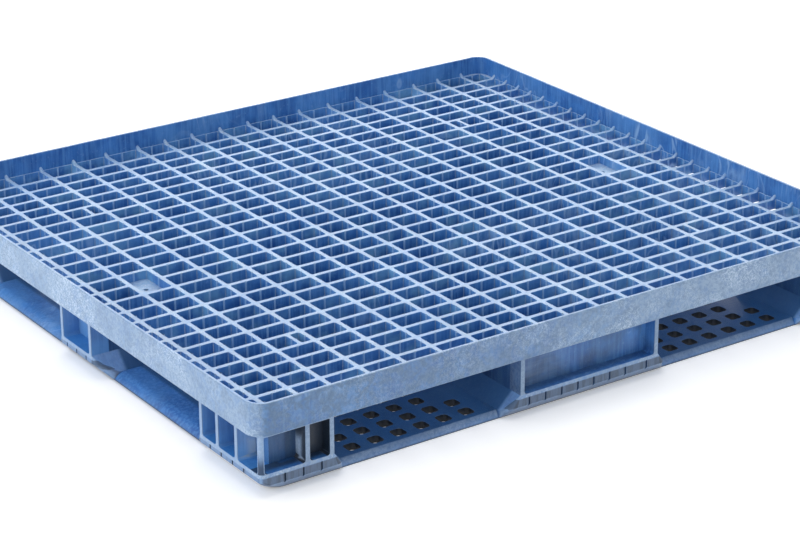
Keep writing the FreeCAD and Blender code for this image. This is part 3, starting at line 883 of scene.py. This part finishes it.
def hook_points(end, inward, width, top):
    """The grid of points of one hook: a rib's end that swells and curves up into the wall."""
    sideways = Vector((-inward.y, inward.x))
    grid = []
    for step in range(HOOK_STEPS + 1):
        run = HOOK_RUN * step / HOOK_STEPS
        rise = HOOK_RISE * (0.5 + 0.5 * math.cos(math.pi * step / HOOK_STEPS))
        row = []
        for part in range(HOOK_ARCH + 1):
            across = math.sin(math.pi * (part / HOOK_ARCH - 0.5))
            arch = math.sqrt(max(0.0, 1 - across * across))
            place = end + inward * (run - HOOK_ROOT) + sideways * (across * width / 2)
            row.append((place.x, place.y, top - HOOK_ROOT + (rise + HOOK_ROOT) * arch))
        grid.append(row)
    return grid


def add_hook(points, faces, grid):
    """A closed shell over the grid of points, down to a flat sole inside the rib."""
    start = len(points)
    columns = HOOK_ARCH + 1
    for row in grid:
        points.extend(row)
    for i in range(len(grid) - 1):
        for j in range(HOOK_ARCH):
            a = start + i * columns + j
            faces.append((a, a + 1, a + columns + 1, a + columns))
    last = start + (len(grid) - 1) * columns
    faces.append(tuple(reversed(range(start, start + columns))))
    faces.append(tuple(range(last, last + columns)))
    left = [start + i * columns for i in range(len(grid))]
    right = [start + i * columns + HOOK_ARCH for i in range(len(grid))]
    faces.append(tuple(left + list(reversed(right))))


def hooks_mesh(name, cells, top):
    """A hook at every rib end, where the ribs meet the rim's inner faces."""
    low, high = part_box("deck_grating")
    near_west = low.x + SHALLOW_BAND / 2
    near_south = low.y + SHALLOW_BAND / 2
    west_cells = sorted({(cell[2], cell[3]) for cell in cells if cell[0] < near_west})
    south_cells = sorted({(cell[0], cell[1]) for cell in cells if cell[2] < near_south})
    points, faces = [], []
    for (_, before), (after, _) in zip(west_cells, west_cells[1:]):
        for wall_x, inward in ((low.x, Vector((1, 0))), (high.x, Vector((-1, 0)))):
            end = Vector((wall_x, (before + after) / 2))
            add_hook(points, faces, hook_points(end, inward, after - before, top))
    for (_, before), (after, _) in zip(south_cells, south_cells[1:]):
        for wall_y, inward in ((low.y, Vector((0, 1))), (high.y, Vector((0, -1)))):
            end = Vector(((before + after) / 2, wall_y))
            add_hook(points, faces, hook_points(end, inward, after - before, top))
    return mesh_from(name, points, faces)


def make_grating():
    top, outline, cells, pads = read_grating()
    finish = MATERIALS["grating"], SLOT["grating"]
    grid = add_piece("deck_grating_moulding", grating_mesh("grid", top, outline, cells), *finish)
    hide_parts("deck_grating")
    add_piece("rib_end_hooks", hooks_mesh("hooks", cells, top), *finish)
    for west, east, south, north in cells:
        if any(west < pad.x < east and south < pad.y < north for pad in pads):
            side = "left" if west < 0 else "right"
            cell = (west, east, south, north)
            add_piece("deck_pad_" + side, pad_mesh("pad", cell, top), *finish)


# ---------------------------------------------------------------- studio
CAMERA_AT = Vector((-2.2191, -3.2490, 1.6623))
CAMERA_AIM = Vector((0.0586, 0.0484, 0.0))
CAMERA_ROLL = math.radians(-0.22)
CAMERA_LENS = 113.67
SENSOR = 36.0

LAMPS_AIM = Vector((0.0, 0.0, 0.1))
LAMPS = (                       # each softbox's name, place, width, height and watts
    ("back_softbox", (2.3, 3.4, 2.1), 4.5, 2.2, 130.0),
    ("left_softbox", (-3.6, 0.4, 1.5), 2.4, 1.8, 50.0),
    ("top_softbox", (0.0, 0.3, 3.6), 3.2, 3.2, 60.0),
    ("front_softbox", (-1.6, -3.8, 2.2), 3.0, 2.0, 9.0),
)
SKY_LIGHT = (0.97, 0.985, 1.0, 1.0)
SKY_STRENGTH = 0.75
PAPER = (0.90, 0.90, 0.90)
# a painted glow: the paper is no lamp
PAPER_GLOW = 0.22
PAPER_SIZE = 24.0
PAPER_DROP = 0.2 * MM           # the paper lies this far below the pallet
PAPER_FADE = 10 * MM


def add_to_scene(name, data, at, turn):
    """Puts a lamp or a camera in the scene, turned by this quaternion."""
    holder = bpy.data.objects.new(name, data)
    bpy.context.scene.collection.objects.link(holder)
    holder.location = at
    holder.rotation_mode = "QUATERNION"
    holder.rotation_quaternion = turn
    return holder


def make_camera():
    camera = bpy.data.cameras.new("camera")
    camera.lens = CAMERA_LENS
    camera.sensor_width = SENSOR
    level = (CAMERA_AIM - CAMERA_AT).to_track_quat("-Z", "Y")
    turn = level @ Quaternion((0, 0, 1), CAMERA_ROLL)
    bpy.context.scene.camera = add_to_scene("camera", camera, CAMERA_AT, turn)


def make_lamp(name, at, width, height, watts):
    lamp = bpy.data.lights.new(name, "AREA")
    lamp.shape = "RECTANGLE"
    lamp.size = width
    lamp.size_y = height
    lamp.energy = watts
    add_to_scene(name, lamp, at, (LAMPS_AIM - Vector(at)).to_track_quat("-Z", "Y"))


def paper(half_x, half_y):
    """Pale paper with a faint painted glow, though it is no lamp, that softens the shadows, and a
    painted shadow under the pallet.
    """
    p = Pattern("paper")
    past_x = p.less(p.size(p.x), half_x)
    past_y = p.less(p.size(p.y), half_y)
    # painted shadow under the pallet, painted glow beyond it
    clear = p.ramp(p.most(past_x, past_y), -PAPER_FADE, PAPER_FADE)
    return p.show(p.make("ShaderNodeBsdfPrincipled", {
        "Base Color": p.mix(clear, SHADED, PAPER), "Roughness": 0.9,
        "Emission Color": (1.0, 1.0, 1.0, 1.0), "Emission Strength": p.times(clear, PAPER_GLOW),
    }))


def make_studio():
    scene = bpy.context.scene
    scene.view_settings.view_transform = "Standard"
    scene.world = bpy.data.worlds.new("studio")
    scene.world.use_nodes = True
    sky = scene.world.node_tree.nodes["Background"]
    sky.inputs["Color"].default_value = SKY_LIGHT
    sky.inputs["Strength"].default_value = SKY_STRENGTH

    bpy.ops.mesh.primitive_plane_add(size=PAPER_SIZE, location=(0, 0, -PAPER_DROP))
    floor = bpy.context.object
    floor.name = "floor"
    floor.data.materials.append(paper(*half_size("board_left_front")))

    for name, at, width, height, watts in LAMPS:
        make_lamp(name, at, width, height, watts)
    make_camera()


dress_mouldings()
make_grating()
make_studio()
